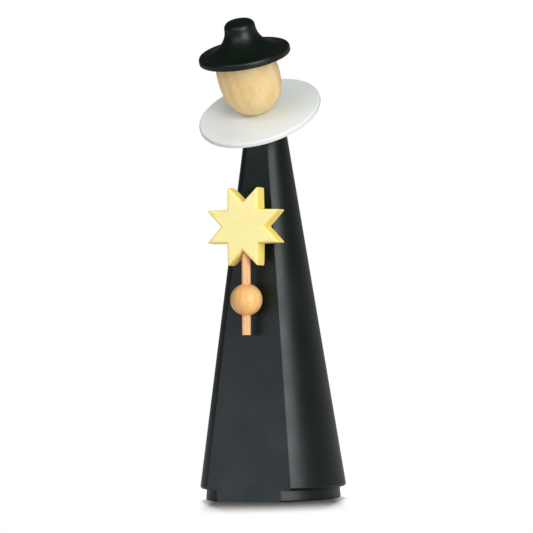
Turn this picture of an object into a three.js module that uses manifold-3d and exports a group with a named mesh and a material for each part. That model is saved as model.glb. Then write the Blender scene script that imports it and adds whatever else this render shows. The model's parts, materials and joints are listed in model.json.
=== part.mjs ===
// Caroler figurine of turned wood: robe, tilted collar, head with hat, and a star held on a staff.
// Millimetres. Z is the turning axis of the robe, its underside lies on z = 0 and the front faces -Y.
import * as THREE from "three";
import { mergeVertices } from "three/addons/utils/BufferGeometryUtils.js";
import Module from "manifold-3d";

const wasm = await Module();
wasm.setup();

const degree = Math.PI / 180;

// Gap kept between pieces that are glued, and between pieces that turn or slide on each other.
const glueGap = 0.3;
const runningGap = 0.3;

// Robe: a cone on a narrower foot.
const footHeight = 5.1;
const footRadius = 30.8;
const footDraft = 0.4;
const footChamfer = 0.7;
const hemRadius = 33.4;
const hemRound = 1.2;
const coneTopRadius = 6.15;
const coneHeight = 190;

// Front plane: how deep it cuts into the cone at the hem and at the cone's top.
const planeDepthHem = 7.5;
const planeDepthTop = 0.1;

// Slanted cut at the top of the robe, and the dowel that stands square on it.
const neckTilt = 33;
const seatDrop = 12.5;
const neckSetback = 3.9;
const neckDowelRadius = 2;
const neckDowelDepth = 14;
const neckDowelInHead = 10;

// Collar disc.
const collarRadius = 28.8;
const collarThickness = 2.4;
const collarRound = 0.7;

// Head: a turned egg on the neck dowel, its long upper half cut off slanting for the hat.
const headRadius = 14.1;
const headDrop = 18;
const headTaper = 31;
const headCut = 9;

// Hat: one turned piece with a hollow sweep from brim to crown.
const hatTip = 13;
const hatForward = 0.6;
const hatHeight = 18.1;
const brimRadius = 20.9;
const brimThickness = 3.5;
const brimRound = 1.2;
const crownRadius = 7.1;
const crownRound = 2.4;
const crownDome = 0.4;
const hatPegRadius = 2;
const hatPegInHead = 6;
const hatPegInHat = 7;

// Hand: a ball with a small flat that sits on the front plane of the robe.
const ballRadius = 7.3;
const ballSeatRadius = 2.3;
const handPegRadius = 1.5;
const handPegWall = 1.4;
const handPegInRobe = 7;

// Staff through the ball, and the star on its upper end.
const staffRadius = 2;
const staffLean = 2.2;
const staffBelowBall = 16;
const staffInStar = 7;
const starPoints = 8;
const starRadius = 19.2;
const starNotchRadius = 10.6;
const starThickness = 8.6;
const starBevel = 0.4;
const starAboveBall = 33;
const starBelowCollar = 16.9;

const rodChamfer = 0.3;
const rodSegments = 24;
const turnedSegments = 64;

function solidOf(geometry) {
  geometry.deleteAttribute("normal");
  geometry.deleteAttribute("uv");
  const merged = mergeVertices(geometry, 1e-4);
  const vertProperties = new Float32Array(merged.attributes.position.array);
  const triVerts = new Uint32Array(merged.index.array);
  return new wasm.Manifold(new wasm.Mesh({ numProp: 3, vertProperties, triVerts }));
}

function geometryOf(solid) {
  const { vertProperties, triVerts } = solid.getMesh();
  const geometry = new THREE.BufferGeometry();
  geometry.setAttribute("position", new THREE.BufferAttribute(vertProperties, 3));
  geometry.setIndex(new THREE.BufferAttribute(triVerts, 1));
  geometry.computeVertexNormals();
  return geometry;
}

function cut(geometry, ...tools) {
  let solid = solidOf(geometry);
  for (const tool of tools) {
    solid = solid.subtract(solidOf(tool));
  }
  return geometryOf(solid);
}

// A profile of radius against height, turned about Z.
function turned(profile, divisions, segments) {
  return new THREE.LatheGeometry(profile.getPoints(divisions), segments).rotateX(Math.PI / 2);
}

function rod(radius, from, to, chamfer) {
  const profile = new THREE.Path();
  profile.moveTo(0, from);
  profile.lineTo(radius - chamfer, from);
  profile.lineTo(radius, from + chamfer);
  profile.lineTo(radius, to - chamfer);
  profile.lineTo(radius - chamfer, to);
  profile.lineTo(0, to);
  return turned(profile, 1, rodSegments);
}

function bore(radius, from, to) {
  return new THREE.CylinderGeometry(radius, radius, to - from, rodSegments)
    .rotateX(Math.PI / 2)
    .translate(0, 0, (from + to) / 2);
}

// A block that takes away everything above one level of the frame it is placed in.
function blockAbove(level) {
  const size = 3 * (hemRadius + coneHeight);
  return new THREE.BoxGeometry(size, size, size).translate(0, 0, level + size / 2);
}

// A frame whose Z leans forward from the robe's axis by tilt degrees.
function leaningFrame(y, z, tilt) {
  const frame = new THREE.Group();
  frame.position.set(0, y, z);
  frame.rotation.x = tilt * degree;
  frame.updateMatrix();
  return frame;
}

function placed(geometry, frame) {
  return geometry.clone().applyMatrix4(frame.matrix);
}

const blackLacquer = new THREE.MeshStandardMaterial({ color: 0x17181a, roughness: 0.38, metalness: 0 });
const paleWood = new THREE.MeshStandardMaterial({ color: 0xe9cb92, roughness: 0.55, metalness: 0 });
const ballWood = new THREE.MeshStandardMaterial({ color: 0xddab6b, roughness: 0.4, metalness: 0 });
const beechWood = new THREE.MeshStandardMaterial({ color: 0xe9ae83, roughness: 0.6, metalness: 0 });
const whitePaint = new THREE.MeshStandardMaterial({ color: 0xe6e5e0, roughness: 0.6, metalness: 0 });
const yellowPaint = new THREE.MeshStandardMaterial({ color: 0xfbe994, roughness: 0.6, metalness: 0 });

const figurine = new THREE.Group();
figurine.name = "caroler_figurine";

function add(parent, name, geometry, material) {
  const mesh = new THREE.Mesh(geometry, material.clone());
  mesh.name = name;
  parent.add(mesh);
}

// Front plane as a line in the middle section: distance in front of the axis against height.
const planeAtHem = hemRadius - planeDepthHem;
const planeAtTop = coneTopRadius - planeDepthTop;
const planeSlope = (planeAtHem - planeAtTop) / (coneHeight - footHeight);
const planeAngle = Math.atan(planeSlope) / degree;

function planeDistance(z) {
  return planeAtHem - planeSlope * (z - footHeight);
}

// The dowel stands on the slanted seat, set back from the edge where the seat meets the front plane.
const seatHeight = coneHeight - seatDrop;
const seatSlope = Math.tan(neckTilt * degree);
const edgeForward = planeDistance(seatHeight) / (1 - planeSlope * seatSlope);
const neckForward = edgeForward - neckSetback * Math.cos(neckTilt * degree);
const neckFrame = leaningFrame(-neckForward, seatHeight - neckForward * seatSlope, neckTilt);

const collarFrom = runningGap;
const collarTo = collarFrom + collarThickness;

// The head stands on the collar, and the hat sits on its slanted cut.
const headCentre = collarTo + runningGap + headDrop;
const hatFrame = leaningFrame(-hatForward, headCentre, -hatTip);
const hatFrom = headCut + glueGap;

// Hand on the front plane: its height follows from the star, which hangs below the collar's front edge.
const collarEdgeBelowSeat = collarRadius * Math.sin(neckTilt * degree);
const starHalfHeight = starRadius * Math.cos(Math.PI / starPoints);
const starHeight = neckFrame.position.z - collarEdgeBelowSeat - starBelowCollar - starHalfHeight;
const handHeight = starHeight - starAboveBall * Math.cos(staffLean * degree);
const ballSeat = Math.sqrt(ballRadius ** 2 - ballSeatRadius ** 2);
const ballForward =
  planeDistance(handHeight) + (ballSeat + glueGap) / Math.cos(planeAngle * degree);
const handFrame = leaningFrame(-ballForward, handHeight, -staffLean);
const handPegFrame = leaningFrame(0, 0, staffLean - planeAngle - 90);

const neckDowelTo = collarTo + runningGap + neckDowelInHead;
const neckBore = bore(neckDowelRadius + runningGap, -neckDowelDepth - glueGap, neckDowelTo + glueGap);
const hatPegFrom = headCut - hatPegInHead;
const hatPegTo = hatFrom + hatPegInHat;
const hatPegBore = bore(hatPegRadius + glueGap, hatPegFrom - glueGap, hatPegTo + glueGap);
const handPegFrom = staffRadius + runningGap + handPegWall;
const handPegTo = ballSeat + glueGap + handPegInRobe;
const handPegBore = bore(handPegRadius + glueGap, handPegFrom - glueGap, handPegTo + glueGap);

// Robe.
const robeProfile = new THREE.Path();
const coneAngle = Math.atan((hemRadius - coneTopRadius) / (coneHeight - footHeight));
const hemCentre = hemRadius - hemRound * Math.tan(Math.PI / 4 + coneAngle / 2);
robeProfile.moveTo(0, 0);
robeProfile.lineTo(footRadius - footChamfer, 0);
robeProfile.lineTo(footRadius, footChamfer);
robeProfile.lineTo(footRadius - footDraft, footHeight);
robeProfile.lineTo(hemCentre, footHeight);
robeProfile.absarc(hemCentre, footHeight + hemRound, hemRound, -Math.PI / 2, coneAngle);
robeProfile.lineTo(coneTopRadius, coneHeight);
robeProfile.lineTo(0, coneHeight);
const planeFrame = leaningFrame(-planeDistance(0), 0, 90 - planeAngle);
add(
  figurine,
  "robe",
  cut(
    turned(robeProfile, 3, turnedSegments),
    placed(blockAbove(0), planeFrame),
    placed(blockAbove(0), neckFrame),
    placed(neckBore, neckFrame),
    placed(placed(handPegBore, handPegFrame), handFrame),
  ),
  blackLacquer,
);

// Neck dowel and collar.
const collarProfile = new THREE.Path();
const collarHole = neckDowelRadius + runningGap;
const collarRim = collarRadius - collarRound;
collarProfile.moveTo(collarHole, collarFrom);
collarProfile.lineTo(collarRim, collarFrom);
collarProfile.absarc(collarRim, collarFrom + collarRound, collarRound, -Math.PI / 2, 0);
collarProfile.absarc(collarRim, collarTo - collarRound, collarRound, 0, Math.PI / 2);
collarProfile.lineTo(collarHole, collarTo);
collarProfile.lineTo(collarHole, collarFrom);
figurine.add(neckFrame);
add(neckFrame, "neck_dowel", rod(neckDowelRadius, -neckDowelDepth, neckDowelTo, rodChamfer), beechWood);
add(neckFrame, "collar", turned(collarProfile, 2, turnedSegments), whitePaint);

// Head, hat and the peg between them.
const eggProfile = new THREE.Path();
eggProfile.absellipse(0, headCentre, headRadius, headDrop, -Math.PI / 2, 0);
eggProfile.absellipse(0, headCentre, headRadius, headTaper, 0, Math.PI / 2);
add(
  neckFrame,
  "head",
  cut(
    turned(eggProfile, 8, turnedSegments),
    neckBore,
    placed(blockAbove(headCut), hatFrame),
    placed(hatPegBore, hatFrame),
  ),
  paleWood,
);
const hatProfile = new THREE.Path();
const hatTo = hatFrom + hatHeight;
const brimTo = hatFrom + brimThickness;
const brimRim = brimRadius - brimRound;
const sweepTo = hatTo - crownDome - crownRound;
hatProfile.moveTo(0, hatFrom);
hatProfile.lineTo(brimRim, hatFrom);
hatProfile.absarc(brimRim, hatFrom + brimRound, brimRound, -Math.PI / 2, 0);
hatProfile.absarc(brimRim, brimTo - brimRound, brimRound, 0, Math.PI / 2);
hatProfile.absellipse(
  brimRim,
  sweepTo,
  brimRim - crownRadius,
  sweepTo - brimTo,
  -Math.PI / 2,
  -Math.PI,
  true,
);
hatProfile.absarc(crownRadius - crownRound, sweepTo, crownRound, 0, Math.PI / 2);
hatProfile.quadraticCurveTo((crownRadius - crownRound) / 2, hatTo, 0, hatTo);
neckFrame.add(hatFrame);
add(hatFrame, "hat", cut(turned(hatProfile, 3, turnedSegments), hatPegBore), blackLacquer);
add(hatFrame, "hat_peg", rod(hatPegRadius, hatPegFrom, hatPegTo, rodChamfer), beechWood);

// Hand ball with its seat flat, peg hole and staff hole.
const ballProfile = new THREE.Path();
ballProfile.absarc(0, 0, ballRadius, -Math.PI / 2, Math.PI / 2);
figurine.add(handFrame);
add(
  handFrame,
  "hand_ball",
  cut(
    turned(ballProfile, 10, turnedSegments / 2),
    placed(blockAbove(ballSeat), handPegFrame),
    bore(staffRadius + runningGap, -2 * ballRadius, 2 * ballRadius),
    placed(handPegBore, handPegFrame),
  ),
  ballWood,
);
handFrame.add(handPegFrame);
add(handPegFrame, "hand_peg", rod(handPegRadius, handPegFrom, handPegTo, rodChamfer), beechWood);

// Staff and star.
const staffTo = starAboveBall - starNotchRadius + staffInStar;
add(handFrame, "star_staff", rod(staffRadius, -staffBelowBall, staffTo, rodChamfer), beechWood);
const starOutline = new THREE.Shape();
for (let corner = 0; corner < 2 * starPoints; corner += 1) {
  const radius = corner % 2 === 0 ? starRadius : starNotchRadius;
  const angle = ((corner + 1) * Math.PI) / starPoints;
  const x = radius * Math.cos(angle);
  const y = radius * Math.sin(angle);
  if (corner === 0) {
    starOutline.moveTo(x, y);
  } else {
    starOutline.lineTo(x, y);
  }
}
const starBody = new THREE.ExtrudeGeometry(starOutline, {
  depth: starThickness - 2 * starBevel,
  bevelThickness: starBevel,
  bevelSize: starBevel,
  bevelOffset: -starBevel,
  bevelSegments: 1,
});
starBody.translate(0, 0, starBevel - starThickness / 2);
starBody.rotateX(Math.PI / 2);
starBody.translate(0, 0, starAboveBall);
add(
  handFrame,
  "star",
  cut(starBody, bore(staffRadius + glueGap, 0, staffTo + glueGap)),
  yellowPaint,
);

export default figurine;
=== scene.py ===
import json
import math

import bmesh
import bpy
from mathutils import Matrix, Vector


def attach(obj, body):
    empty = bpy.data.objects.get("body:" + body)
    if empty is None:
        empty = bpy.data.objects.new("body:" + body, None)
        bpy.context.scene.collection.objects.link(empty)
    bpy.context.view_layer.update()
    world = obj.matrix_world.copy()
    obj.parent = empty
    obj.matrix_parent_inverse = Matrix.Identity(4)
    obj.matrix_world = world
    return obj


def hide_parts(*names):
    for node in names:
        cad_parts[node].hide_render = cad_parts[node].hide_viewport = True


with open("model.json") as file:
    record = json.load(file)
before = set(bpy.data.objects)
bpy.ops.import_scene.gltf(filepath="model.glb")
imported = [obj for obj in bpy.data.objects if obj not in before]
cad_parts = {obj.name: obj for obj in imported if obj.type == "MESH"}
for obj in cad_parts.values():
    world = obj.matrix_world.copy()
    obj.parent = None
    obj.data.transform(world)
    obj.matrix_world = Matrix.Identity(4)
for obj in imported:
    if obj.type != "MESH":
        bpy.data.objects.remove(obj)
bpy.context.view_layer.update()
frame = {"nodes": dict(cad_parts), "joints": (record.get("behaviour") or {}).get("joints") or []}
mm = 0.001
print("frame loaded with", len(frame["nodes"]), "solids")


# Places on the figure. Sizes are in mm, places in metres.

joints = {joint["name"]: joint for joint in frame["joints"]}


def placeOn(origin, axis):
    # Z runs along the axis, X stays across the figure
    up = Vector(axis).normalized()
    across = Vector((1, 0, 0))
    turn = Matrix((across, up.cross(across), up)).transposed().to_4x4()
    return Matrix.Translation(origin) @ turn


def shift(x, y, z):
    return Matrix.Translation((x * mm, y * mm, z * mm))


def tip(angle):
    return Matrix.Rotation(math.radians(angle), 4, "X")


standing = Matrix.Identity(4)
neckPlace = placeOn(joints["head_turn"]["pos_m"], joints["head_turn"]["axis"])


# Small tools for the modelling.

bench = {
    "weld": 0.002,  # mm, closes a turned piece at its poles
    "slice": 0.001,  # mm, how close a corner may lie to a cut
    "clean": 0.001,  # mm, what is merged after drilling
    "near": 0.01,  # mm, for picking edges by where they lie
    "roundSides": 64,
    "sharpFrom": 32,  # degrees
}


def turnOutline(bm, outline, steps):
    # half a section, radius against height, spun about Z
    verts = [bm.verts.new((radius * mm, 0, height * mm)) for radius, height in outline]
    edges = [bm.edges.new(pair) for pair in zip(verts, verts[1:])]
    bmesh.ops.spin(
        bm, geom=verts + edges, cent=(0, 0, 0), axis=(0, 0, 1), angle=math.tau, steps=steps, use_merge=True
    )
    bmesh.ops.remove_doubles(bm, verts=bm.verts[:], dist=bench["weld"] * mm)
    bmesh.ops.recalc_face_normals(bm, faces=bm.faces[:])


def sweepPoints(centre, reach, start, end, count, power=1):
    # points along part of an ellipse, from start to end degrees; a power under 1 makes it squarer
    points = []
    for step in range(count + 1):
        turn = math.radians(start + (end - start) * step / count)
        across, up = math.cos(turn), math.sin(turn)
        across = math.copysign(abs(across) ** power, across)
        up = math.copysign(abs(up) ** power, up)
        points.append((centre[0] + reach[0] * across, centre[1] + reach[1] * up))
    return points


def loopAt(bm, radius, height):
    # the edges of one turned ring
    near = bench["near"] * mm
    ring = {
        vert
        for vert in bm.verts
        if abs(vert.co.xy.length - radius * mm) < near and abs(vert.co.z - height * mm) < near
    }
    return [edge for edge in bm.edges if edge.verts[0] in ring and edge.verts[1] in ring]


def softenEdges(bm, edges, offset, segments):
    bmesh.ops.bevel(
        bm,
        geom=edges,
        offset=offset * mm,
        offset_type="OFFSET",
        segments=segments,
        profile=0.5,
        affect="EDGES",
        material=-1,
        clamp_overlap=True,
    )


def planeOff(bm, place, level):
    # takes away what stands above one level of the place, closes the cut and returns its edges
    everything = bm.verts[:] + bm.edges[:] + bm.faces[:]
    normal = place.to_3x3() @ Vector((0, 0, 1))
    point = place @ Vector((0, 0, level * mm))
    cut = bmesh.ops.bisect_plane(
        bm, geom=everything, dist=bench["slice"] * mm, plane_co=point, plane_no=normal, clear_outer=True
    )
    edges = [item for item in cut["geom_cut"] if isinstance(item, bmesh.types.BMEdge)]
    bmesh.ops.contextual_create(bm, geom=edges)
    bmesh.ops.recalc_face_normals(bm, faces=bm.faces[:])
    return edges


def toObject(bm, name):
    mesh = bpy.data.meshes.new(name)
    bm.to_mesh(mesh)
    bm.free()
    made = bpy.data.objects.new(name, mesh)
    bpy.context.scene.collection.objects.link(made)
    return made


def roundBar(bm, start, end, radius):
    # a plain cylinder along Z
    bmesh.ops.create_cone(
        bm,
        cap_ends=True,
        segments=bench["roundSides"],
        radius1=radius * mm,
        radius2=radius * mm,
        depth=(end - start) * mm,
    )
    bmesh.ops.translate(bm, vec=(0, 0, (start + end) / 2 * mm), verts=bm.verts[:])


def drill(piece, place, start, end, radius):
    # a hole along Z of the place
    bm = bmesh.new()
    roundBar(bm, start, end, radius)
    bm.transform(place)
    bit = toObject(bm, "drill_bit")
    boring = piece.modifiers.new("boring", "BOOLEAN")
    boring.object = bit
    boring.operation = "DIFFERENCE"
    boring.solver = "EXACT"
    bpy.context.view_layer.update()
    bored = piece.evaluated_get(bpy.context.evaluated_depsgraph_get())
    solid = piece.data
    piece.data = bpy.data.meshes.new_from_object(bored)
    piece.modifiers.clear()
    bpy.data.objects.remove(bit)
    bpy.data.meshes.remove(solid)
    bm = bmesh.new()
    bm.from_mesh(piece.data)
    bmesh.ops.remove_doubles(bm, verts=bm.verts[:], dist=bench["clean"] * mm)
    bmesh.ops.dissolve_degenerate(bm, edges=bm.edges[:], dist=bench["clean"] * mm)
    bm.to_mesh(piece.data)
    bm.free()


def markFaces(piece, name, weigh):
    # a number on each face, which the finish reads by its name
    mark = piece.data.attributes.new(name, "FLOAT", "FACE")
    for face in piece.data.polygons:
        mark.data[face.index].value = weigh(face)


def finishPiece(piece, body, node, material):
    mesh = piece.data
    mesh.name = piece.name
    mesh.shade_smooth()
    mesh.set_sharp_from_angle(angle=math.radians(bench["sharpFrom"]))
    mesh.materials.clear()
    mesh.materials.append(material)
    evened = piece.modifiers.new("even_shading", "WEIGHTED_NORMAL")
    evened.keep_sharp = True
    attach(piece, body)
    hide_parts(node)
    print(piece.name, "made with", len(mesh.polygons), "faces")


# Small tools for the finishes.

noiseMiddle = {"From Min": 0.3, "From Max": 0.7}  # most of a noise lies between these


def hexColour(text):
    # an sRGB colour as the shader wants it
    parts = [int(text[i : i + 2], 16) / 255 for i in (1, 3, 5)]
    return [p / 12.92 if p <= 0.04045 else ((p + 0.055) / 1.055) ** 2.4 for p in parts] + [1]


def addNode(tree, kind, values=None, links=None, **settings):
    node = tree.nodes.new(kind)
    for name, value in settings.items():
        setattr(node, name, value)
    for socket, value in (values or {}).items():
        node.inputs[socket].default_value = value
    for socket, source in (links or {}).items():
        tree.links.new(source, node.inputs[socket])
    return node


def startMaterial(name, place, roughness, specular):
    # a bare shader, and the piece's own place as coordinates in mm
    material = bpy.data.materials.new(name)
    material.use_nodes = True
    tree = material.node_tree
    tree.nodes.clear()
    shader = addNode(
        tree,
        "ShaderNodeBsdfPrincipled",
        {"Roughness": roughness, "Specular IOR Level": specular, "IOR": 1.5},
    )
    addNode(tree, "ShaderNodeOutputMaterial", links={"Surface": shader.outputs["BSDF"]})
    back = place.inverted()
    coords = addNode(tree, "ShaderNodeTexCoord")
    own = addNode(
        tree,
        "ShaderNodeMapping",
        {
            "Location": back.translation / mm,
            "Rotation": back.to_euler("XYZ"),
            "Scale": (1 / mm, 1 / mm, 1 / mm),
        },
        {"Vector": coords.outputs["Object"]},
    )
    return material, tree, shader, own.outputs["Vector"]


def lacquer(name, place, look):
    # Black lacquer sprayed on turned and sanded wood: nearly black, with a wide soft shine that
    # faint turning rings, hairline rubs and dust nibs break up.
    material, tree, shader, own = startMaterial(name, place, look["roughness"], look["specular"])
    height = addNode(tree, "ShaderNodeSeparateXYZ", links={"Vector": own})
    rings = addNode(
        tree,
        "ShaderNodeTexNoise",
        {"Scale": 1 / look["ringPitch"], "Detail": 3, "Roughness": 0.6},
        {"W": height.outputs["Z"]},
        noise_dimensions="1D",
    )
    planed = addNode(tree, "ShaderNodeAttribute", attribute_name="planed")
    sanded = addNode(
        tree,
        "ShaderNodeMapping",
        {"Scale": (1 / look["sandingPitch"], 1, 1 / look["sandingLength"])},
        {"Vector": own},
    )
    strokes = addNode(
        tree, "ShaderNodeTexNoise", {"Scale": 1, "Detail": 2}, {"Vector": sanded.outputs["Vector"]}
    )
    tooling = addNode(
        tree,
        "ShaderNodeMix",
        links={0: planed.outputs["Fac"], 2: rings.outputs["Fac"], 3: strokes.outputs["Fac"]},
    )
    clouds = addNode(
        tree, "ShaderNodeTexNoise", {"Scale": 1 / look["cloudSize"], "Detail": 4}, {"Vector": own}
    )
    rubbed = addNode(
        tree,
        "ShaderNodeMapping",
        {
            "Rotation": look["rubTurn"],
            "Scale": (1 / look["rubLength"], 1 / look["rubLength"], 1 / look["rubWidth"]),
        },
        {"Vector": own},
    )
    rubs = addNode(
        tree, "ShaderNodeTexNoise", {"Scale": 1, "Detail": 1}, {"Vector": rubbed.outputs["Vector"]}
    )
    rubLine = addNode(
        tree,
        "ShaderNodeMapRange",
        {"From Min": look["rubFrom"], "From Max": look["rubFull"]},
        {"Value": rubs.outputs["Fac"]},
    )
    cells = addNode(tree, "ShaderNodeTexVoronoi", {"Scale": 1 / look["nibSpacing"]}, {"Vector": own})
    nibReach = look["nibSize"] / look["nibSpacing"]
    nibs = addNode(
        tree,
        "ShaderNodeMapRange",
        {"From Min": nibReach, "From Max": look["nibCore"] * nibReach},
        {"Value": cells.outputs["Distance"]},
    )
    tone = addNode(
        tree,
        "ShaderNodeMix",
        {6: hexColour(look["deep"]), 7: hexColour(look["grey"])},
        {0: clouds.outputs["Fac"]},
        data_type="RGBA",
    )
    rubbedTone = addNode(
        tree,
        "ShaderNodeMix",
        {7: hexColour(look["rubTone"])},
        {0: rubLine.outputs["Result"], 6: tone.outputs[2]},
        data_type="RGBA",
    )
    nibTone = addNode(
        tree,
        "ShaderNodeMix",
        {7: hexColour(look["nibTone"])},
        {0: nibs.outputs["Result"], 6: rubbedTone.outputs[2]},
        data_type="RGBA",
    )
    tree.links.new(nibTone.outputs[2], shader.inputs["Base Color"])
    dull = addNode(
        tree,
        "ShaderNodeMapRange",
        {
            **noiseMiddle,
            "To Min": look["roughness"] - look["roughnessSpread"],
            "To Max": look["roughness"] + look["roughnessSpread"],
        },
        {"Value": clouds.outputs["Fac"]},
    )
    tree.links.new(dull.outputs["Result"], shader.inputs["Roughness"])
    relief = addNode(
        tree,
        "ShaderNodeMath",
        {1: look["nibHeight"]},
        {0: nibs.outputs["Result"], 2: tooling.outputs[0]},
        operation="MULTIPLY_ADD",
    )
    bump = addNode(
        tree,
        "ShaderNodeBump",
        {"Strength": 1, "Distance": look["relief"] * mm},
        {"Height": relief.outputs["Value"]},
    )
    tree.links.new(bump.outputs["Normal"], shader.inputs["Normal"])
    return material


def paint(name, place, look):
    # Matt paint brushed thin on sanded wood: an even colour with the grain faintly standing in it, and a
    # second tone
    # on the faces that the sawn mark picks: on the star, paint soaked deeper into end grain; on the collar's
    # rim, painted shade.
    thinFrom, thinFull = 0.38, 0.68  # part of the grain where the paint lies thin
    smoother, rougher = 0.06, 0.08  # what the grain does to the shine
    material, tree, shader, own = startMaterial(name, place, look["roughness"], look["specular"])
    along = addNode(
        tree,
        "ShaderNodeMapping",
        {
            "Rotation": look["grainTurn"],
            "Scale": (1 / look["grainLength"], 1 / look["grainWidth"], 1 / look["grainWidth"]),
        },
        {"Vector": own},
    )
    grain = addNode(
        tree,
        "ShaderNodeTexNoise",
        {"Scale": 1, "Detail": 3, "Roughness": 0.55},
        {"Vector": along.outputs["Vector"]},
    )
    clouds = addNode(
        tree, "ShaderNodeTexNoise", {"Scale": 1 / look["cloudSize"], "Detail": 3}, {"Vector": own}
    )
    thin = addNode(
        tree,
        "ShaderNodeMapRange",
        {"From Min": thinFrom, "From Max": thinFull},
        {"Value": grain.outputs["Fac"]},
    )
    tone = addNode(
        tree,
        "ShaderNodeMix",
        {6: hexColour(look["full"]), 7: hexColour(look["thin"])},
        {0: thin.outputs["Result"]},
        data_type="RGBA",
    )
    # the sawn mark: end grain on the star, and painted shade on the collar's rim
    sawn = addNode(tree, "ShaderNodeAttribute", attribute_name="sawn")
    soakedAndShaded = addNode(
        tree,
        "ShaderNodeMix",
        {7: hexColour(look["soakedAndShaded"])},
        {0: sawn.outputs["Fac"], 6: tone.outputs[2]},
        data_type="RGBA",
    )
    patch = addNode(
        tree,
        "ShaderNodeMapRange",
        {**noiseMiddle, "To Min": 1 - look["patchiness"], "To Max": 1},
        {"Value": clouds.outputs["Fac"]},
    )
    shaded = addNode(
        tree,
        "ShaderNodeMix",
        {0: 1},
        {6: soakedAndShaded.outputs[2], 7: patch.outputs["Result"]},
        data_type="RGBA",
        blend_type="MULTIPLY",
    )
    tree.links.new(shaded.outputs[2], shader.inputs["Base Color"])
    dull = addNode(
        tree,
        "ShaderNodeMapRange",
        {"To Min": look["roughness"] - smoother, "To Max": look["roughness"] + rougher},
        {"Value": grain.outputs["Fac"]},
    )
    tree.links.new(dull.outputs["Result"], shader.inputs["Roughness"])
    bump = addNode(
        tree,
        "ShaderNodeBump",
        {"Strength": 1, "Distance": look["relief"] * mm},
        {"Height": grain.outputs["Fac"]},
    )
    tree.links.new(bump.outputs["Normal"], shader.inputs["Normal"])
    return material


def bareWood(name, place, look):
    # Turned or drawn wood under a thin clear seal: growth rings and long fibres along Z,
    # short dark flecks, and a soft shine that follows the fibres.
    darkFrom, darkFull = 0.32, 0.72  # part of the figure that runs from pale to dark
    fleckFade = 0.1
    smoother, rougher = 0.08, 0.1  # what the fibres do to the shine
    wavePeriod = math.pi / 10  # of the wave texture at scale 1
    material, tree, shader, own = startMaterial(name, place, look["roughness"], look["specular"])
    along = addNode(
        tree,
        "ShaderNodeMapping",
        {"Location": (*look["pith"], 0), "Scale": (1, 1, look["stretch"])},
        {"Vector": own},
    )
    rings = addNode(
        tree,
        "ShaderNodeTexWave",
        {
            "Scale": wavePeriod / look["ringSpacing"],
            "Distortion": look["waviness"],
            "Detail": 3,
            "Detail Scale": look["waveScale"],
            "Detail Roughness": 0.6,
        },
        {"Vector": along.outputs["Vector"]},
        wave_type="RINGS",
        rings_direction="Z",
        wave_profile="SIN",
    )
    drawn = addNode(tree, "ShaderNodeMapping", {"Scale": (1, 1, look["fibreStretch"])}, {"Vector": own})
    fibres = addNode(
        tree,
        "ShaderNodeTexNoise",
        {"Scale": 1 / look["fibreWidth"], "Detail": 4, "Roughness": 0.6},
        {"Vector": drawn.outputs["Vector"]},
    )
    streaks = addNode(
        tree,
        "ShaderNodeTexNoise",
        {"Scale": 1 / look["streakWidth"], "Detail": 3},
        {"Vector": along.outputs["Vector"]},
    )
    figure = addNode(
        tree,
        "ShaderNodeMix",
        {0: look["ringShare"]},
        {2: streaks.outputs["Fac"], 3: rings.outputs["Fac"]},
    )
    fine = addNode(
        tree,
        "ShaderNodeMix",
        {0: look["fibreShare"]},
        {2: figure.outputs[0], 3: fibres.outputs["Fac"]},
    )
    spread = addNode(
        tree,
        "ShaderNodeMapRange",
        {"From Min": darkFrom, "From Max": darkFull},
        {"Value": fine.outputs[0]},
    )
    tone = addNode(
        tree,
        "ShaderNodeMix",
        {6: hexColour(look["pale"]), 7: hexColour(look["dark"])},
        {0: spread.outputs["Result"]},
        data_type="RGBA",
    )
    fleckPlace = addNode(
        tree,
        "ShaderNodeMapping",
        {"Scale": (1 / look["fleckWidth"], 1 / look["fleckWidth"], 1 / look["fleckLength"])},
        {"Vector": own},
    )
    flecks = addNode(
        tree, "ShaderNodeTexNoise", {"Scale": 1, "Detail": 1}, {"Vector": fleckPlace.outputs["Vector"]}
    )
    fleck = addNode(
        tree,
        "ShaderNodeMapRange",
        {
            "From Min": look["fleckFrom"],
            "From Max": look["fleckFrom"] + fleckFade,
            "To Max": look["fleckDepth"],
        },
        {"Value": flecks.outputs["Fac"]},
    )
    flecked = addNode(
        tree,
        "ShaderNodeMix",
        {7: hexColour(look["fleck"])},
        {0: fleck.outputs["Result"], 6: tone.outputs[2]},
        data_type="RGBA",
    )
    surface = flecked.outputs[2]
    if "bored" in look:
        bored = addNode(tree, "ShaderNodeAttribute", attribute_name="bored")
        opened = addNode(
            tree,
            "ShaderNodeMix",
            {7: hexColour(look["bored"])},
            {0: bored.outputs["Fac"], 6: surface},
            data_type="RGBA",
        )
        surface = opened.outputs[2]
    tree.links.new(surface, shader.inputs["Base Color"])
    dull = addNode(
        tree,
        "ShaderNodeMapRange",
        {"To Min": look["roughness"] - smoother, "To Max": look["roughness"] + rougher},
        {"Value": fibres.outputs["Fac"]},
    )
    tree.links.new(dull.outputs["Result"], shader.inputs["Roughness"])
    bump = addNode(
        tree,
        "ShaderNodeBump",
        {"Strength": 1, "Distance": look["relief"] * mm},
        {"Height": fibres.outputs["Fac"]},
    )
    tree.links.new(bump.outputs["Normal"], shader.inputs["Normal"])
    return material


# Robe: a cone on a narrower foot, planed flat in front and cut slanting at the neck.

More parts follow.
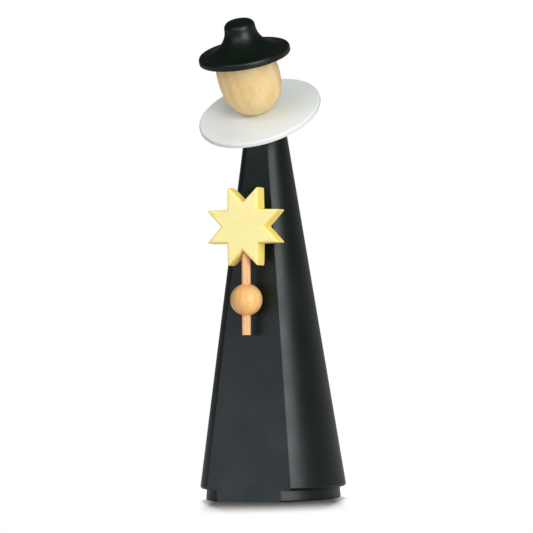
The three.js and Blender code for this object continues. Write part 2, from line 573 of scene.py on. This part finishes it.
robe = {
    "footHeight": 5.1,
    "footRadius": 30.8,
    "footDraft": 0.4,  # the foot narrows by this up to the hem
    "footChamfer": 0.7,
    "footSegments": 3,
    "hemRadius": 33.4,
    "hemRound": 1.2,
    "hemSegments": 5,
    "topRadius": 6.15,
    "height": 190,  # of the whole cone, before the neck is cut
    "flatAtHem": 25.9,  # from the axis to the planed face
    "flatAtTop": 6.05,
    "planedFrom": 0.999,  # how squarely a planed face looks out
    "edgeSoftness": 0.45,
    "edgeSegments": 3,
    "neckHole": 2.3,  # radius, as for every hole
    "neckHoleDepth": 14.3,
    "neckHoleOver": 2,
    "steps": 240,
}
robeLacquer = {
    "deep": "#060F08",
    "grey": "#0A150D",
    "roughness": 0.4,
    "roughnessSpread": 0.04,
    "specular": 0.5,
    "ringPitch": 0.9,  # mm, like the sizes that follow
    "sandingPitch": 0.8,
    "sandingLength": 40,
    "cloudSize": 16,
    "rubLength": 9,
    "rubWidth": 0.35,
    "rubTurn": (0.3, 0.5, 0.2),  # radians
    "rubFrom": 0.74,
    "rubFull": 0.8,
    "rubTone": "#26292A",
    "nibSpacing": 7,
    "nibSize": 0.22,
    "nibCore": 0.4,
    "nibTone": "#303435",
    "nibHeight": 1.5,
    "relief": 0.012,
}

flatSlope = (robe["flatAtHem"] - robe["flatAtTop"]) / (robe["height"] - robe["footHeight"])
flatAngle = math.degrees(math.atan(flatSlope))
flatPlace = shift(0, -robe["flatAtHem"], robe["footHeight"]) @ tip(90 - flatAngle)


def makeRobe():
    bm = bmesh.new()
    footTop = robe["footRadius"] - robe["footDraft"]
    outline = [
        (0, 0),
        (robe["footRadius"], 0),
        (footTop, robe["footHeight"]),
        (robe["hemRadius"], robe["footHeight"]),
        (robe["topRadius"], robe["height"]),
        (0, robe["height"]),
    ]
    turnOutline(bm, outline, robe["steps"])
    coneLean = math.atan((robe["hemRadius"] - robe["topRadius"]) / (robe["height"] - robe["footHeight"]))
    hemOffset = robe["hemRound"] * math.tan(math.pi / 4 + coneLean / 2)
    softenEdges(bm, loopAt(bm, robe["hemRadius"], robe["footHeight"]), hemOffset, robe["hemSegments"])
    softenEdges(bm, loopAt(bm, robe["footRadius"], 0), robe["footChamfer"], robe["footSegments"])
    planeOff(bm, neckPlace, 0)
    flatEdges = planeOff(bm, flatPlace, 0)
    # the flat's edges are softened from just above the hem's rounding
    above = (robe["footHeight"] + 2 * robe["hemRound"]) * mm
    sides = [edge for edge in flatEdges if min(vert.co.z for vert in edge.verts) > above]
    softenEdges(bm, sides, robe["edgeSoftness"], robe["edgeSegments"])
    made = toObject(bm, "robe_turned")
    drill(made, neckPlace, -robe["neckHoleDepth"], robe["neckHoleOver"], robe["neckHole"])
    drill(made, pegPlace, hand["pegFrom"] - hand["pegGap"], hand["pegTo"] + hand["pegGap"], hand["pegHole"])
    # the planed face takes sanding strokes instead of turning rings
    facing = flatPlace.to_3x3() @ Vector((0, 0, 1))
    markFaces(made, "planed", lambda face: float(face.normal.dot(facing) > robe["planedFrom"]))
    finishPiece(
        made,
        "robe",
        "robe",
        lacquer("satin_black_lacquer_on_robe", standing, robeLacquer),
    )


# Collar: a thin turned disc.

collar = {
    "radius": 28.4,
    "hole": 2.3,
    "from": 0.3,
    "thickness": 2.4,
    "rim": 0.7,
    "rimSegments": 4,
    "soakAndShadePower": 4,  # a higher one brings the rim's painted shade further over the edge
    "steps": 192,
}
collarPaint = {
    "full": "#E5E9E8",
    "thin": "#E1E6E4",
    # the rim's tone is painted shade, a darker grey than the top
    "soakedAndShaded": "#D0D4D1",
    "roughness": 0.55,
    "specular": 0.35,
    "grainTurn": (0, 0, math.radians(20)),  # the grain lies along X, then turned
    "grainLength": 26,
    "grainWidth": 0.7,
    "cloudSize": 18,
    "patchiness": 0.03,
    "relief": 0.012,
}


def makeCollar():
    bm = bmesh.new()
    low = collar["from"]
    high = low + collar["thickness"]
    outline = [
        (collar["hole"], low),
        (collar["radius"], low),
        (collar["radius"], high),
        (collar["hole"], high),
        (collar["hole"], low),
    ]
    turnOutline(bm, outline, collar["steps"])
    for level in (low, high):
        softenEdges(bm, loopAt(bm, collar["radius"], level), collar["rim"], collar["rimSegments"])
    bm.transform(neckPlace)
    made = toObject(bm, "collar_painted")
    # painted shade on the rim: its faces and softened edges get a darker grey than the top, so that the rim
    # looks less lit
    facing = neckPlace.to_3x3() @ Vector((0, 0, 1))
    markFaces(made, "sawn", lambda face: 1 - face.normal.dot(facing) ** collar["soakAndShadePower"])
    finishPiece(
        made,
        "collar",
        "collar",
        paint("matt_white_paint_on_disc", neckPlace, collarPaint),
    )


# Head: a turned egg with no face, its top cut off slanting for the hat.

head = {
    "radius": 14.1,
    "centre": 21.0,
    "drop": 18,  # from the widest ring down
    "dropSteps": 44,
    "taper": 31,  # and up, before the cut
    "taperSteps": 60,
    "fullness": 0.87,
    "cut": 9,
    "cutTip": -13,
    "cutForward": 0.6,
    "cutEdge": 0.4,
    "cutSegments": 3,
    "neckHole": 2.3,
    "neckHoleTo": 13.3,
    "pegHole": 2.3,
    "pegHoleFrom": 2.7,
    "pegHoleOver": 1,
    "steps": 128,
}
headWood = {
    "pale": "#F0D8A3",
    "dark": "#E5BC78",
    "fleck": "#CF9856",
    "roughness": 0.46,
    "specular": 0.4,
    "pith": (34, 22),  # mm, where the growth rings have their middle
    "stretch": 0.36,  # under 1 draws the figure out along Z
    "ringSpacing": 5.5,
    "waviness": 8,
    "waveScale": 0.3,
    "fibreWidth": 0.55,
    "fibreStretch": 0.07,
    "streakWidth": 3.6,
    "ringShare": 0.12,
    "fibreShare": 0.2,
    "fleckWidth": 0.4,
    "fleckLength": 3,
    "fleckFrom": 0.66,
    "fleckDepth": 0.35,
    "relief": 0.02,
}
hatOnHead = shift(0, -head["cutForward"], head["centre"]) @ tip(head["cutTip"])
hatPlace = neckPlace @ hatOnHead


def makeHead():
    bm = bmesh.new()
    centre, radius = (0, head["centre"]), head["radius"]
    fullness = head["fullness"]
    holeRim = math.degrees(math.acos((head["neckHole"] / radius) ** (1 / fullness)))
    outline = [(0, head["neckHoleTo"]), (head["neckHole"], head["neckHoleTo"])]
    outline += sweepPoints(centre, (radius, head["drop"]), -holeRim, 0, head["dropSteps"], fullness)
    outline += sweepPoints(centre, (radius, head["taper"]), 0, 90, head["taperSteps"])[1:]
    turnOutline(bm, outline, head["steps"])
    rim = planeOff(bm, hatOnHead, head["cut"])
    softenEdges(bm, rim, head["cutEdge"], head["cutSegments"])
    bm.transform(neckPlace)
    made = toObject(bm, "head_turned")
    drill(made, hatPlace, head["pegHoleFrom"], head["cut"] + head["pegHoleOver"], head["pegHole"])
    finishPiece(
        made,
        "head",
        "head",
        bareWood("sealed_pale_maple_turned", neckPlace, headWood),
    )


# Hat: one turned piece with a hollow sweep from brim to crown.

hat = {
    "from": 9.3,
    "height": 18.1,
    "brimRadius": 20.9,
    "brimThickness": 3.5,
    "rimUnder": 0.8,
    "underSteps": 6,
    "rimWall": 1.1,
    "rimDepth": 1.1,
    "rimSteps": 10,
    "hollowSteps": 28,
    "crownRadius": 7.1,
    "crownRound": 3.2,
    "crownSteps": 12,
    "crownDome": 0.4,
    "domeRing": (0.6, 0.4),  # a ring on the dome: share of the shoulder, share of the dome's height down
    "pegHole": 2.3,
    "pegHoleTo": 16.6,
    "steps": 192,
}
hatLacquer = dict(robeLacquer, ringPitch=0.7, cloudSize=9, nibSpacing=5)


def makeHat():
    bm = bmesh.new()
    low = hat["from"]
    brimTop = low + hat["brimThickness"]
    top = low + hat["height"]
    sweepTop = top - hat["crownDome"] - hat["crownRound"]
    rim = hat["brimRadius"] - hat["rimDepth"]
    under = hat["rimUnder"]
    outline = [(0, hat["pegHoleTo"]), (hat["pegHole"], hat["pegHoleTo"]), (hat["pegHole"], low)]
    turn = (hat["brimRadius"] - under, low + under)
    outline += sweepPoints(turn, (under, under), -90, 0, hat["underSteps"])
    wallTop = under + hat["rimWall"]
    reach = (hat["rimDepth"], hat["brimThickness"] - wallTop)
    outline += sweepPoints((rim, low + wallTop), reach, 0, 90, hat["rimSteps"])
    hollow = (rim - hat["crownRadius"], sweepTop - brimTop)
    outline += sweepPoints((rim, sweepTop), hollow, -90, -180, hat["hollowSteps"])[1:]
    shoulder = hat["crownRadius"] - hat["crownRound"]
    crown = (hat["crownRound"], hat["crownRound"])
    outline += sweepPoints((shoulder, sweepTop), crown, 0, 90, hat["crownSteps"])[1:]
    inward, down = hat["domeRing"]
    outline += [(shoulder * inward, top - down * hat["crownDome"]), (0, top)]
    turnOutline(bm, outline, hat["steps"])
    bm.transform(hatPlace)
    finishPiece(
        toObject(bm, "hat_turned"),
        "head",
        "hat",
        lacquer("satin_black_lacquer_on_hat", hatPlace, hatLacquer),
    )


# Hand: a drilled ball on a small flat of its own.

hand = {
    "centre": (0, -23.930, 91.164),
    "radius": 7.3,
    "seatRadius": 2.3,
    "staffHole": 2.3,
    "mouth": 2.7,
    "mouthDepth": 0.46,
    "mouthMargin": 0.02,
    "pegHole": 1.8,
    "pegFrom": 3.7,
    "pegTo": 14.228,
    "pegGap": 0.3,
    "ballSteps": 56,
    "steps": 96,
}
ballWood = {
    "pale": "#EFBF80",
    "dark": "#DCA05C",
    "fleck": "#B67C40",
    "bored": "#F6DFC0",  # in the drilled hole
    "roughness": 0.34,
    "specular": 0.5,
    "pith": (14, 9),
    "stretch": 0.3,
    "ringSpacing": 3.2,
    "waviness": 6,
    "waveScale": 0.5,
    "fibreWidth": 0.45,
    "fibreStretch": 0.1,
    "streakWidth": 2.6,
    "ringShare": 0.1,
    "fibreShare": 0.3,
    "fleckWidth": 0.3,
    "fleckLength": 1.6,
    "fleckFrom": 0.64,
    "fleckDepth": 0.4,
    "relief": 0.015,
}
handPlace = placeOn(Vector(hand["centre"]) * mm, joints["staff_slide"]["axis"])
staffLean = math.degrees(math.asin(Vector(joints["staff_slide"]["axis"]).y))
pegPlace = handPlace @ tip(staffLean - flatAngle - 90)


def makeHand():
    bm = bmesh.new()
    radius, hole = hand["radius"], hand["staffHole"]
    mouthAngle = math.degrees(math.acos(hand["mouth"] / radius))
    wallEnd = math.sqrt(radius**2 - hand["mouth"] ** 2) - hand["mouthDepth"]
    outline = [(hole, -wallEnd), (hole, wallEnd)]
    outline += sweepPoints((0, 0), (radius, radius), mouthAngle, -mouthAngle, hand["ballSteps"])
    outline += [(hole, -wallEnd)]
    turnOutline(bm, outline, hand["steps"])
    bm.transform(handPlace)
    seat = math.sqrt(radius**2 - hand["seatRadius"] ** 2)
    planeOff(bm, pegPlace, seat)
    made = toObject(bm, "hand_ball_drilled")
    drill(made, pegPlace, hand["pegFrom"] - hand["pegGap"], hand["pegTo"], hand["pegHole"])
    # in the staff's hole and its flared mouths the drill opened paler wood
    back = handPlace.inverted()
    inside = hand["mouth"] - hand["mouthMargin"]
    markFaces(made, "bored", lambda face: float((back @ face.center / mm).xy.length < inside))
    finishPiece(
        made,
        "robe",
        "hand_ball",
        bareWood("oiled_beech_ball_polished", handPlace, ballWood),
    )


# Staff and star: a round rod, and a thick sawn star on its end.

staff = {"radius": 2, "from": -16, "to": 29.4, "endEdge": 0.25, "endSegments": 2}
rodWood = {
    "pale": "#F5C793",
    "dark": "#E4A775",
    "fleck": "#B5673F",
    "roughness": 0.55,
    "specular": 0.35,
    "pith": (11, 17),
    "stretch": 0.08,
    "ringSpacing": 1.7,
    "waviness": 2.5,
    "waveScale": 0.8,
    "fibreWidth": 0.4,
    "fibreStretch": 0.05,
    "streakWidth": 1.3,
    "ringShare": 0.4,
    "fibreShare": 0.35,
    "fleckWidth": 0.6,
    "fleckLength": 2.0,
    "fleckFrom": 0.64,
    "fleckDepth": 0.75,
    "relief": 0.03,
}


def makeStaff():
    bm = bmesh.new()
    roundBar(bm, staff["from"], staff["to"], staff["radius"])
    for level in (staff["from"], staff["to"]):
        softenEdges(bm, loopAt(bm, staff["radius"], level), staff["endEdge"], staff["endSegments"])
    bm.transform(handPlace)
    finishPiece(
        toObject(bm, "staff_rod"),
        "star_on_staff",
        "star_staff",
        bareWood("bare_beech_rod", handPlace, rodWood),
    )


star = {
    "points": 8,
    "radius": 19.6,
    "notchRadius": 10.9,
    "thickness": 8.6,
    "height": 33,
    "faceEdge": 1.2,
    "faceSegments": 4,
    "cornerFrom": 1,  # radians between the faces of an outline edge
    "tipEdge": 1.0,
    "tipSegments": 3,
    "tipWithin": 0.01,
    "soakAndShadePower": 2,
    "staffHole": 2.3,
    "staffHoleTo": 29.7,
}
starPaint = {
    "full": "#F7EAA4",
    "thin": "#F5E6A0",
    "soakedAndShaded": "#FBE079",
    "roughness": 0.6,
    "specular": 0.3,
    "grainTurn": (0, 0, 0),
    "grainLength": 18,
    "grainWidth": 0.8,
    "cloudSize": 8,
    "patchiness": 0.03,
    "relief": 0.012,
}


def makeStar():
    bm = bmesh.new()
    bmesh.ops.create_circle(
        bm, cap_ends=True, cap_tris=True, segments=2 * star["points"], radius=star["radius"] * mm
    )
    # every other corner is drawn in to a notch, one of them straight down for the staff
    for vert in bm.verts:
        corner = round(math.atan2(vert.co.y, vert.co.x) / (math.pi / star["points"]))
        if vert.co.length > mm and corner % 2 == 0:
            vert.co *= star["notchRadius"] / star["radius"]
    bm.transform(tip(90) @ shift(0, 0, -star["thickness"] / 2))
    grown = bmesh.ops.extrude_face_region(bm, geom=bm.faces[:])["geom"]
    back = [item for item in grown if isinstance(item, bmesh.types.BMVert)]
    bmesh.ops.translate(bm, vec=(0, -star["thickness"] * mm, 0), verts=back)
    bmesh.ops.recalc_face_normals(bm, faces=bm.faces[:])
    outline = [
        edge
        for edge in bm.edges
        if abs(edge.verts[0].co.y - edge.verts[1].co.y) < bench["near"] * mm
        and edge.calc_face_angle(0) > star["cornerFrom"]
    ]
    softenEdges(bm, outline, star["faceEdge"], star["faceSegments"])
    tipLine = (star["radius"] - 3 * star["faceEdge"]) * mm

    def onTip(vert):
        # on the ridge over a tip, from the front face round to the back
        aside = math.cos(star["points"] / 2 * math.atan2(vert.co.z, vert.co.x))
        return vert.co.xz.length > tipLine and abs(aside) < star["tipWithin"]

    tips = [edge for edge in bm.edges if all(onTip(vert) for vert in edge.verts)]
    softenEdges(bm, tips, star["tipEdge"], star["tipSegments"])
    bm.transform(handPlace @ shift(0, 0, star["height"]))
    made = toObject(bm, "star_sawn")
    drill(made, handPlace, 0, star["staffHoleTo"], star["staffHole"])
    # the sawn sides take the paint in deeper than the faces
    facing = handPlace.to_3x3() @ Vector((0, 1, 0))
    markFaces(made, "sawn", lambda face: 1 - face.normal.dot(facing) ** star["soakAndShadePower"])
    finishPiece(
        made,
        "star_on_staff",
        "star",
        paint("matt_yellow_paint_on_sawn_star", handPlace, starPaint),
    )


makeRobe()
makeCollar()
makeHead()
makeHat()
makeHand()
makeStaff()
makeStar()

# The dowel and pegs stay as the solids have them, in bare beech along their own axes.
pegs = {"neck_dowel": neckPlace, "hat_peg": hatPlace, "hand_peg": pegPlace}
for node, place in pegs.items():
    solid = frame["nodes"][node]
    solid.data.materials.clear()
    solid.data.materials.append(bareWood("bare_beech_" + node, place, rodWood))
print("pieces finished")


# Studio: white paper, a large soft lamp on the right, a low panel on the left and soft fill from the front.
# Some of the lamps light only some of the pieces. Lengths here are in metres.

studio = {
    "aim": (0, -0.005, 0.11),
    "sweepRadius": 1.2,
    "sweepSides": 96,
    "sweepDrop": 0.00005,  # under the foot
    "sweepFade": (0.036, 0.115),
    "sweepSide": (0.903, 0.430, 0),
    "sweepSideFade": (0.026, 0.0365),
    "sweepTone": "#C4C4C3",
    "sweepDim": 0.5,
    "sweepShine": 0.3,
    "backdropSide": (0.26, 0.966, 0),
    "backdropTop": (0.15, 0.5),
    "backdropTone": 0.33,
    "roomTone": 0.04,
    "ambient": 0.22,
}

# Azimuth and elevation are in degrees. A lamp with shine is mirrored in the lacquer, and lights names one of
# the groups below.
lamps = {
    "right_softbox": {
        "azimuth": 51.5, "elevation": 7, "distance": 0.9,
        "size": (0.5, 0.48), "watts": 5.1, "tint": "#F3F8FF",
        "shine": True, "lights": "figure",
    },
    "right_fill": {
        "azimuth": 46, "elevation": 34, "distance": 1.0,
        "size": (0.3, 0.3), "watts": 2.9, "tint": "#FFF8EE",
        "shine": False, "lights": "figure_but_collar_and_ball",
    },
    "left_panel": {
        "azimuth": -26, "elevation": -3, "distance": 0.6,
        "size": (0.6, 0.16), "watts": 0.8, "tint": "#DFEDFF",
        "shine": True, "lights": "robe",
    },
    "left_glow": {
        "azimuth": -70, "elevation": 0, "distance": 0.8,
        "size": (0.4, 0.4), "watts": 0.75, "tint": "#FFF0DC",
        "shine": False, "lights": "head",
    },
    "low_fill": {
        "azimuth": 40, "elevation": 10, "distance": 0.9,
        "size": (0.5, 0.48), "watts": 4.1, "tint": "#FFFDF6",
        "shine": False, "lights": "collar_and_ball",
    },
    "front_strip": {
        "azimuth": 4, "elevation": 13, "distance": 0.9,
        "size": (1.2, 0.2), "watts": 2.1, "tint": "#F4F9FF",
        "shine": True, "lights": "hat",
    },
    "front_fill": {
        "azimuth": -22, "elevation": 36, "distance": 1.2,
        "size": (0.9, 0.7), "watts": 3.9, "tint": "#FFFFFF",
        "shine": False, "lights": "figure_but_ball",
    },
    "top_fill": {
        "azimuth": 30, "elevation": 70, "distance": 1.1,
        "size": (0.8, 0.8), "watts": 2.3, "tint": "#FFFFFF",
        "shine": False, "lights": "figure",
    },
    "paper_lamp": {
        "azimuth": 205, "elevation": 30, "distance": 1.1,
        "size": (0.2, 0.2), "watts": 58, "tint": "#FFFFFF",
        "shine": False, "lights": "paper",
    },
}


def around(azimuth, elevation, distance):
    # azimuth 0 is in front of the figure, and grows to its +X side
    a, e = math.radians(azimuth), math.radians(elevation)
    away = Vector((math.sin(a) * math.cos(e), -math.cos(a) * math.cos(e), math.sin(e)))
    return Vector(studio["aim"]) + away * distance


def sortRays(tree):
    # the kinds of ray, and those of them that show the place to the camera, straight or through glass
    path = addNode(tree, "ShaderNodeLightPath")
    seen = addNode(
        tree,
        "ShaderNodeMath",
        links={0: path.outputs["Is Camera Ray"], 1: path.outputs["Is Transmission Ray"]},
        operation="MAXIMUM",
    )
    return path, seen


# The sweep fades out around the figure into the white world that the camera sees.
sweepMesh = bmesh.new()
bmesh.ops.create_circle(sweepMesh, cap_ends=True, segments=studio["sweepSides"], radius=studio["sweepRadius"])
bmesh.ops.translate(sweepMesh, vec=(0, 0, -studio["sweepDrop"]), verts=sweepMesh.verts[:])
sweep = toObject(sweepMesh, "white_sweep")
sweepMaterial, tree, shader, own = startMaterial("matt_white_sweep_paper", standing, 1, 0)
shader.inputs["Base Color"].default_value = hexColour(studio["sweepTone"])
reach = addNode(tree, "ShaderNodeVectorMath", links={0: own}, operation="LENGTH")
aside = addNode(tree, "ShaderNodeVectorMath", {1: studio["sweepSide"]}, {0: own}, operation="DOT_PRODUCT")
apart = addNode(tree, "ShaderNodeMath", links={0: aside.outputs["Value"]}, operation="ABSOLUTE")
fades = [
    addNode(
        tree,
        "ShaderNodeMapRange",
        {"From Min": near / mm, "From Max": far / mm},
        {"Value": distance.outputs["Value"]},
        interpolation_type="SMOOTHSTEP",
    )
    for distance, (near, far) in ((reach, studio["sweepFade"]), (apart, studio["sweepSideFade"]))
]
fade = addNode(
    tree,
    "ShaderNodeMath",
    links={0: fades[0].outputs["Result"], 1: fades[1].outputs["Result"]},
    operation="MAXIMUM",
)
path, seen = sortRays(tree)
dim = addNode(
    tree,
    "ShaderNodeMix",
    {2: studio["sweepDim"], 3: 1 - studio["sweepShine"]},
    {0: path.outputs["Is Glossy Ray"]},
)
faded = addNode(
    tree,
    "ShaderNodeMix",
    links={0: seen.outputs["Value"], 2: dim.outputs[0], 3: fade.outputs["Value"]},
)
clear = addNode(tree, "ShaderNodeBsdfTransparent")
mixed = addNode(
    tree, "ShaderNodeMixShader", links={0: faded.outputs[0], 1: shader.outputs[0], 2: clear.outputs[0]}
)
tree.links.new(mixed.outputs[0], tree.nodes["Material Output"].inputs["Surface"])
sweep.data.materials.append(sweepMaterial)

# What a lamp lights: some pieces alone, or everything but some. The paper's own lamp stands behind the
# figure, so that the robe's shadow falls towards the camera.
litAlone = {
    "robe": ["robe_turned"],
    "collar_and_ball": ["collar_painted", "hand_ball_drilled"],
    "head": ["head_turned"],
    "hat": ["hat_turned"],
    "paper": ["white_sweep"],
}
allBut = {
    "figure": ["white_sweep"],
    "figure_but_ball": ["white_sweep", "hand_ball_drilled"],
    "figure_but_collar_and_ball": ["white_sweep", "collar_painted", "hand_ball_drilled"],
}
lit = {}
for groups, state in ((litAlone, "INCLUDE"), (allBut, "EXCLUDE")):
    for name, pieces in groups.items():
        lit[name] = bpy.data.collections.new("lit_" + name)
        for piece in pieces:
            lit[name].objects.link(bpy.data.objects[piece])
        for item in lit[name].collection_objects:
            item.light_linking.link_state = state

for name, look in lamps.items():
    data = bpy.data.lights.new(name, "AREA")
    data.shape = "RECTANGLE"
    data.size, data.size_y = look["size"]
    data.energy = look["watts"]
    data.color = hexColour(look["tint"])[:3]
    lamp = bpy.data.objects.new(name, data)
    lamp.location = around(look["azimuth"], look["elevation"], look["distance"])
    lamp.rotation_euler = (Vector(studio["aim"]) - lamp.location).to_track_quat("-Z", "Y").to_euler()
    lamp.visible_camera = False
    lamp.visible_glossy = look["shine"]
    lamp.light_linking.receiver_collection = lit[look["lights"]]
    if look["lights"] == "paper":
        lamp.light_linking.blocker_collection = lit["robe"]
    bpy.context.scene.collection.objects.link(lamp)

# White for the camera and through glass; the lacquer sees the backdrop dimly, in an otherwise dark room.
world = bpy.data.worlds.new("studio_room")
bpy.context.scene.world = world
world.use_nodes = True
tree = world.node_tree
tree.nodes.clear()
path, seen = sortRays(tree)
direction = addNode(tree, "ShaderNodeTexCoord")
behind = addNode(
    tree,
    "ShaderNodeVectorMath",
    {1: studio["backdropSide"]},
    {0: direction.outputs["Generated"]},
    operation="DOT_PRODUCT",
)
backdrop = addNode(
    tree,
    "ShaderNodeMapRange",
    {"From Min": 0, "From Max": 1, "To Min": studio["roomTone"], "To Max": studio["backdropTone"]},
    {"Value": behind.outputs["Value"]},
)
height = addNode(tree, "ShaderNodeSeparateXYZ", links={"Vector": direction.outputs["Generated"]})
dimmed = addNode(
    tree,
    "ShaderNodeMapRange",
    {
        "From Min": studio["backdropTop"][0],
        "From Max": studio["backdropTop"][1],
        "To Max": studio["roomTone"],
    },
    {"Value": height.outputs["Z"], "To Min": backdrop.outputs["Result"]},
)
room = addNode(
    tree,
    "ShaderNodeMix",
    {2: studio["ambient"]},
    {0: path.outputs["Is Glossy Ray"], 3: dimmed.outputs["Result"]},
)
strength = addNode(tree, "ShaderNodeMix", {3: 1}, {0: seen.outputs["Value"], 2: room.outputs[0]})
back = addNode(tree, "ShaderNodeBackground", {"Color": (1, 1, 1, 1)}, {"Strength": strength.outputs[0]})
addNode(tree, "ShaderNodeOutputWorld", links={"Surface": back.outputs["Background"]})

# Camera, long lens and a little roll.
view = {
    "from": (0.8180, -1.7149, 0.1195),
    "to": (-0.0008, -0.0004, 0.1058),
    "roll": -1.25,  # degrees
    "lens": 281.1,  # mm, as the sensor
    "sensor": 36,
    "farthest": 20,
}
lens = bpy.data.cameras.new("view")
lens.sensor_width = view["sensor"]
lens.lens = view["lens"]
lens.clip_end = view["farthest"]
camera = bpy.data.objects.new("view", lens)
camera.location = view["from"]
aimed = (Vector(view["to"]) - Vector(view["from"])).to_track_quat("-Z", "Y").to_matrix().to_4x4()
camera.rotation_euler = (aimed @ Matrix.Rotation(math.radians(view["roll"]), 4, "Z")).to_euler()
bpy.context.scene.collection.objects.link(camera)
bpy.context.scene.camera = camera
bpy.context.scene.view_settings.view_transform = "Standard"
print("studio and camera set")
